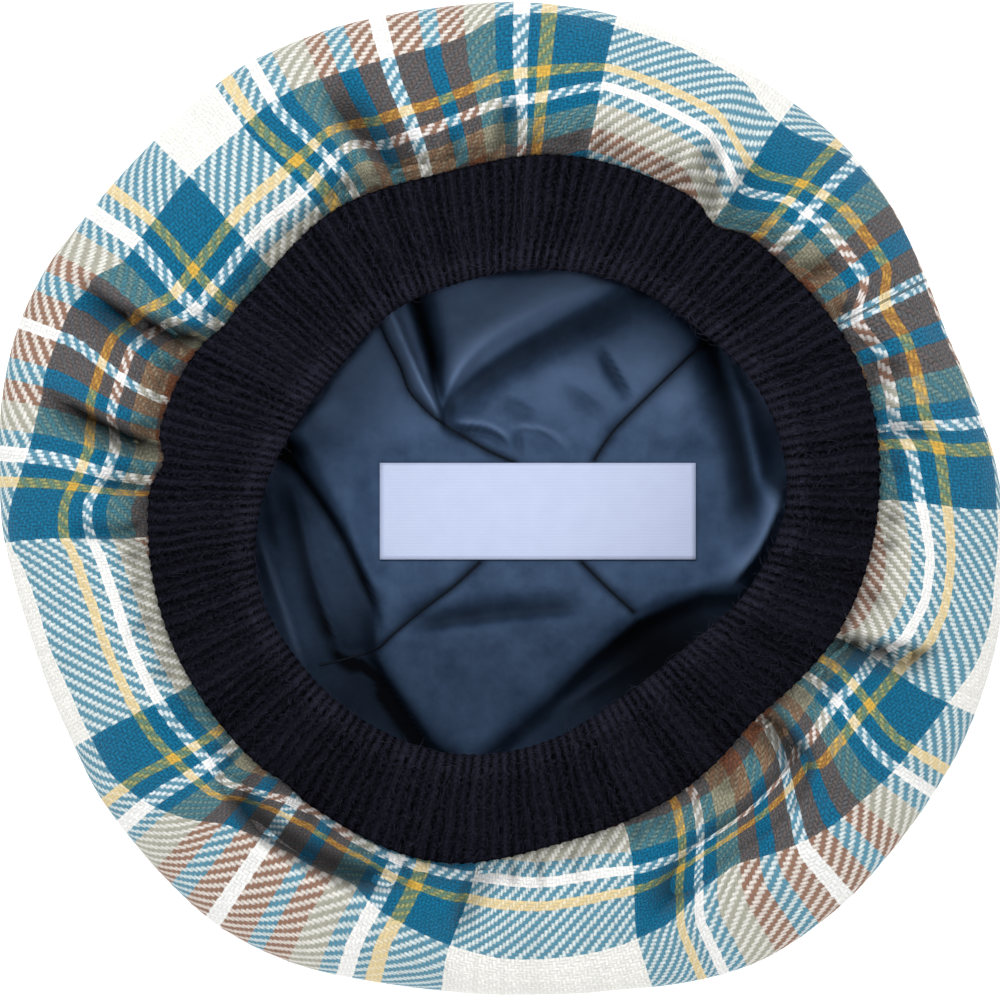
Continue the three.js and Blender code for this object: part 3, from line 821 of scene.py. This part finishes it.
# Seams between the gores, from the label outwards
GORES = [
    [(25.9, 10.2), (31.4, 18.4), (42.4, 29.4), (55.0, 41.6), (60, 46)],
    [
        (3.9, 9.6), (-3.0, 12.6), (-14.5, 19.3), (-20.5, 24.3), (-25.0, 29.4), (-27.4, 36.0), (-31.2, 43.5),
        (-34.6, 52), (-37, 58),
    ],
    [
        (-5.5, -17.9), (-12.7, -24.5), (-21.5, -31.0), (-29.0, -37.4), (-33.8, -41.8), (-42.0, -44.6),
        (-50, -46.6),
    ],
    [(22.5, -17.9), (29.0, -24.5), (36.8, -31.6)],
]


def inside_panel(x, y):
    """Distance to the panel's outline, positive inside."""
    ring = list(map(tuple, PANEL)) + [tuple(PANEL[0])]
    within = np.zeros(x.shape, bool)
    for (x0, y0), (x1, y1) in zip(ring, ring[1:]):
        cross = (y0 > y) != (y1 > y)
        within ^= cross & (x < (x1 - x0) * (y - y0) / (y1 - y0 + 1e-12) + x0)
    return np.where(within, 1, -1) * np.abs(to_line(x, y, ring)[0])


# Soft ridges and valleys of the lining: points, height, half width, width at the end over that at the
# start. The side to the left of a fold's run is the steep one.
FOLDS = [
    ([(-13.5, 16.0), (-17.3, 30.0), (-19.4, 40.0), (-24.4, 57.0), (-28.0, 72.0)], -7.5, 2.0, 1.9),
    ([(-36.0, 64.0), (-29.5, 50.0), (-24.3, 38.0), (-20.5, 29.5), (-15.0, 19.0)], 5.6, 2.9, 0.6),
    (
        [(34.0, 61.0), (20.0, 56.0), (8.0, 50.5), (-4.0, 43.0), (-12.0, 34.0), (-15.8, 26.0), (-16.5, 14.0)],
        5.0, 8.0, 0.2,
    ),
    (
        [(-16.5, 15.0), (-14.2, 23.6), (-6.5, 31.6), (3.5, 38.6), (17.5, 46.4), (31.4, 53.9), (46.0, 60.0)],
        -4.8, 3.2, 1.8,
    ),
    ([(26.0, 64.0), (45.0, 55.0), (59.0, 43.0)], -3.2, 4.0, 1.0),
    ([(26.5, 43.5), (31.5, 34.6), (37.5, 24.5)], -4.0, 1.7, 1.0),
    ([(54.0, 56.0), (58.5, 42.0), (63.0, 27.0), (67.6, 8.0), (69.4, -6.0), (67.0, -18.0)], -6.2, 4.4, 1.0),
    ([(52.8, 31.8), (44.9, 19.2)], 1.6, 6.0, 1.0),
    ([(80.0, 8.0), (75.6, -2.8), (70.1, -15.4), (60.8, -26.0)], 4.5, 3.0, 1.0),
    ([(68.0, 44.0), (74.0, 30.0), (76.0, 14.0)], 4.2, 4.0, 1.0),
    ([(28.0, -30.6), (4.0, -32.3), (-12.0, -34.2), (-31.0, -37.0)], -4.2, 3.2, 1.0),
    (
        [(-66.0, 22.0), (-59.6, 13.4), (-45.9, -6.2), (-39.2, -18.6), (-34.8, -29.5), (-32.5, -40.0)],
        -5.4, 1.7, 1.0,
    ),
    ([(-62.0, 10.0), (-57.0, -3.0), (-52.0, -24.0), (-46.0, -40.0), (-42.0, -50.0)], -4.4, 3.0, 1.0),
    ([(-67.0, -4.0), (-65.0, -14.0), (-60.4, -27.6), (-55.4, -43.0), (-52.0, -52.0)], 3.4, 2.0, 1.0),
    ([(-67.0, 10.0), (-64.5, -1.0), (-63.0, -9.0), (-60.0, -18.0)], -3.0, 2.4, 1.0),
    ([(-86.0, 26.0), (-74.0, 21.5), (-64.0, 17.0), (-52.0, 11.0)], -8.0, 4.5, 1.0),
    ([(-52.0, -42.0), (-37.0, -47.0), (-29.0, -56.5), (-21.0, -68.5), (-12.0, -82.0)], -5.0, 3.6, 1.2),
    ([(-41.0, -46.5), (-36.5, -50.5), (-32.5, -55.0)], 2.6, 1.7, 1.0),
    ([(-54.3, 19.2), (-40.2, 30.3)], 1.4, 7.0, 1.0),
    ([(4.5, 13.5), (0.0, 18.0), (-6.0, 20.3), (-16.0, 20.6)], 2.4, 1.5, 1.0),
    ([(-15.0, 18.6), (-6.0, 18.0), (-0.5, 16.1), (3.5, 12.5)], -2.6, 1.1, 1.0),
    ([(20.0, 11.5), (16.0, 16.0), (11.0, 18.8), (2.0, 19.6)], 2.2, 1.6, 1.0),
    ([(4.6, 19.0), (6.8, 9.0)], -2.2, 1.4, 1.0),
    ([(-2.5, 28.4), (5.5, 24.8), (13.0, 20.6)], -1.5, 2.4, 1.0),
    ([(16.0, 32.5), (23.5, 27.0), (31.0, 20.8)], -1.4, 2.4, 1.0),
    ([(12.0, -62.0), (30.0, -49.0), (45.0, -40.0)], 2.2, 1.8, 1.0),
]


def satin_folds(x, y):
    """Height of the folds over the lining's plain floor; short folds have the longer faded ends."""
    total = 0
    for line, high, half, taper in FOLDS:
        d, share = to_line(x, y, curve(line))
        ends = 0.25 if len(line) > 3 else 0.45
        wide = half * (1 + (taper - 1) * share) * np.where(d > 0, 0.5, 1.35)
        fade = smooth(share, 0, ends) * (1 - smooth(share, 1 - ends, 1))
        total = total + high * bell(d, wide) * fade
    return total


def lining_height(x, y):
    """Height of the lining's floor: raised middle, swollen edge, folds, sunk seams, flat under the label."""
    depth = inside_panel(x, y)
    z = FLOOR_LINING_Z + (PANEL_Z + 1.0 - FLOOR_LINING_Z) * smooth(depth, -6, 1.0)
    north = smooth(y, -45, 0)
    swollen = bell(np.minimum(depth - 3.0, 0), 3.2) * bell(np.maximum(depth - 3.0, 0), 14.0)
    z = z + (2.0 + 3.0 * north) * swollen
    z = np.maximum(z + satin_folds(x, y), FLOOR_LINING_Z - 0.8)
    for line in GORES:
        z = np.maximum(z - 1.4 * bell(to_line(x, y, line)[0], 2.6), FLOOR_LINING_Z - 1.0)
    gap_x = np.maximum(np.abs(x - LABEL_X) - LABEL_WIDE / 2, 0)
    gap_y = np.maximum(np.abs(y - LABEL_Y) - LABEL_TALL / 2, 0)
    free = smooth(np.hypot(gap_x, gap_y), 0.0, 9.0)
    return PANEL_Z + (z - PANEL_Z) * free


def lining_bag():
    """The satin bag: down from the band, out over the wall and across the floor, as two layers."""
    columns, wall_rows = 420, 20
    turn = np.arange(columns) * 360 / columns
    foot, up, out, _ = band_line(turn)
    seam = around(SEAM, turn)
    top = foot - out * KNIT
    level = np.ones_like(turn)
    wall = spline(np.stack([
        np.stack([top[:, 0] + 0.6, top[:, 1] - GAP], -1),
        np.stack([seam + 2.0, level * 27.0], -1),
        np.stack([seam + 5.0, level * 17.0], -1),
        np.stack([seam + 1.0, level * 8.5], -1),
        np.stack([seam * 0.9, level * 5.0], -1),
    ], 1), wall_rows)
    ease = np.linspace(0, 1, wall_rows)
    sway = 1.2 * waves(turn[:, None], ease[None], 5, 6, 24, 21) * np.sin(ease * np.pi)[None]
    wall_r = wall[..., 0] - np.abs(sway)
    floor_share = np.linspace(0.9, 0.01, 91)[1:]
    floor_r = seam[:, None] * floor_share[None]
    xy = placed(turn[:, None], floor_r, 0 * floor_r)
    floor_z = lining_height(xy[..., 0], xy[..., 1])
    edge_z = lining_height(*placed(turn, seam * 0.9, 0 * seam)[:, :2].T)
    lift = (edge_z - 5.0)[:, None] * smooth(ease, 0.7, 1.0)[None]
    r = np.concatenate([wall_r, floor_r], 1)
    z = np.concatenate([wall[..., 1] + lift, floor_z], 1)
    upright = np.concatenate([1 - smooth(ease, 0.6, 0.95), 0 * floor_share])
    r_all = np.concatenate([r, (r + SATIN * upright)[:, ::-1]], 1)
    z_all = np.concatenate([z, (z - SATIN * (1 - upright))[:, ::-1]], 1)
    points = placed(turn[:, None], r_all, z_all).reshape(-1, 3)
    faces, _ = ring_faces(len(turn), r_all.shape[1])
    x, y = points[:, 0], points[:, 1]
    turned = np.degrees(np.arctan2(y, x))
    # Painted shade in the pockets off the raised middle, strongest to the south-east and south-west.
    dark = 0.38 + 0.62 * bell(apart(turned, -45), 38) + 0.46 * bell(apart(turned, -124), 24)
    pocket = dark * (1 - smooth(inside_panel(x, y), -1.8, 0.5))
    # Painted shade over the south part too.
    pocket = np.maximum(pocket, 0.3 * (1 - smooth(y, -50, -15)))
    # Painted shade along the seams.
    for line in GORES:
        pocket = np.maximum(pocket, 0.78 * bell(to_line(x, y, line)[0], 1.5))
    folded = satin_folds(x, y) / 8
    # More painted shade in the valleys of the folds.
    pocket = np.clip(np.maximum(pocket, pocket * 0.6 - 1.15 * folded), 0, 1)
    # Painted highlight on the fold ridges and over the north part.
    painted_highlight = np.clip(folded + 0.25 * smooth(y, 12, 38), 0, 0.6)
    maps = {"pocket": np.stack([pocket, painted_highlight], 1)}
    uv = points[faces.ravel()][:, :2]
    return piece("lining_satin", points, faces, uv, satin, "lining", maps)


def stitches():
    """Sewn lines between the lining's gores, as thin sunk cords."""
    points, faces = [], []
    for line in GORES:
        way = by_length(spline(np.array([line], float), 400), np.linspace(0, 1, 120))[0]
        z = lining_height(way[:, 0], way[:, 1])
        ahead = np.gradient(way, axis=0)
        ahead /= np.linalg.norm(ahead, axis=1, keepdims=True)
        size = 0.34 + 0.09 * np.sin(np.arange(120) * 1.9)
        first = sum(len(p) for p in points)
        ring = []
        for turn in np.arange(6) * np.pi / 3:
            side = size * np.cos(turn)
            over_x, over_y = way[:, 0] - ahead[:, 1] * side, way[:, 1] + ahead[:, 0] * side
            ring.append(np.stack([over_x, over_y, z + size * np.sin(turn)], 1))
        points.append(np.stack(ring, 1).reshape(-1, 3))
        i, k = np.meshgrid(np.arange(119), np.arange(6), indexing="ij")
        a, b = i * 6 + k, i * 6 + (k + 1) % 6
        faces.append(first + np.stack([a, a + 6, b + 6, b], -1).reshape(-1, 4))
    points, faces = np.concatenate(points), np.concatenate(faces)
    return piece("lining_stitches", points, faces, points[faces.ravel()][:, :2], thread)


def label_cloth():
    """The label, a flat closed sheet with nothing on it."""
    nx, ny = 60, 20
    x, y = np.meshgrid(np.linspace(-0.5, 0.5, nx + 1), np.linspace(-0.5, 0.5, ny + 1), indexing="ij")
    px, py = LABEL_X + x * LABEL_WIDE, LABEL_Y + y * LABEL_TALL
    top = PANEL_Z + GAP + LABEL_THICK + 0 * px
    upper = np.stack([px, py, top], -1).reshape(-1, 3)
    lower = np.stack([px, py, top - LABEL_THICK], -1).reshape(-1, 3)
    i, j = np.meshgrid(np.arange(nx), np.arange(ny), indexing="ij")
    a = (i * (ny + 1) + j).ravel()
    quad = np.stack([a, a + ny + 1, a + ny + 2, a + 1], 1)
    n = len(upper)
    rim = [k * (ny + 1) for k in range(nx + 1)] + [nx * (ny + 1) + k for k in range(1, ny + 1)]
    rim += [k * (ny + 1) + ny for k in range(nx - 1, -1, -1)] + [k for k in range(ny - 1, 0, -1)]
    rim = np.array(rim)
    nxt = np.roll(rim, -1)
    sides = np.stack([rim + n, nxt + n, nxt, rim], 1)
    faces = np.concatenate([quad, quad[:, ::-1] + n, sides])
    points = np.concatenate([upper, lower])
    return piece("label_cloth", points, faces, points[faces.ravel()][:, :2], woven, "label")


side = side_strip()
disc = crown_disc()
band = rib_band()
lining = lining_bag()
stitches()
label = label_cloth()

# Floor, light and camera
floor_mesh = bpy.data.meshes.new("floor")
floor_mesh.from_pydata([(-2, -2, 0), (2, -2, 0), (2, 2, 0), (-2, 2, 0)], [], [(0, 1, 2, 3)])
floor = bpy.data.objects.new("floor", floor_mesh)
bpy.context.scene.collection.objects.link(floor)
paint = Nodes("floor_white")
floor_mesh.materials.append(paint.finish(
    (0.9, 0.9, 0.9, 1), Roughness=0.8, Specular_IOR_Level=0.2,
    Emission_Color=(1, 1, 1, 1), Emission_Strength=0.5,
))

world = bpy.data.worlds.new("studio")
bpy.context.scene.world = world
world.use_nodes = True
world.node_tree.nodes["Background"].inputs[0].default_value = (1, 1, 1, 1)
world.node_tree.nodes["Background"].inputs[1].default_value = 0.76


def lamp(name, place, size, power):
    """A round soft lamp that points at the hat."""
    data = bpy.data.lights.new(name, "AREA")
    data.shape = "DISK"
    data.size = size
    data.energy = power
    made = bpy.data.objects.new(name, data)
    made.location = place
    made.rotation_euler = (-Vector(place)).to_track_quat("-Z", "Y").to_euler()
    bpy.context.scene.collection.objects.link(made)


lamp("key", (-0.12, 0.5, 1.2), 0.4, 11)
lamp("fill", (0.1, -0.8, 0.9), 0.6, 2.5)

# Millimetres to a pixel at the rim's height, and the camera's height
RIM_SCALE = 0.272
EYE = 1300.0
cam_data = bpy.data.cameras.new("camera")
cam_data.sensor_width = 36
cam_data.lens = 36 * (EYE - RIM_Z) / (1000 * RIM_SCALE)
camera = bpy.data.objects.new("camera", cam_data)
camera.location = (SHIFT[0] * MM, (SHIFT[1] - 3 * RIM_SCALE) * MM, EYE * MM)
bpy.context.scene.collection.objects.link(camera)
bpy.context.scene.camera = camera
bpy.context.scene.view_settings.view_transform = "Standard"
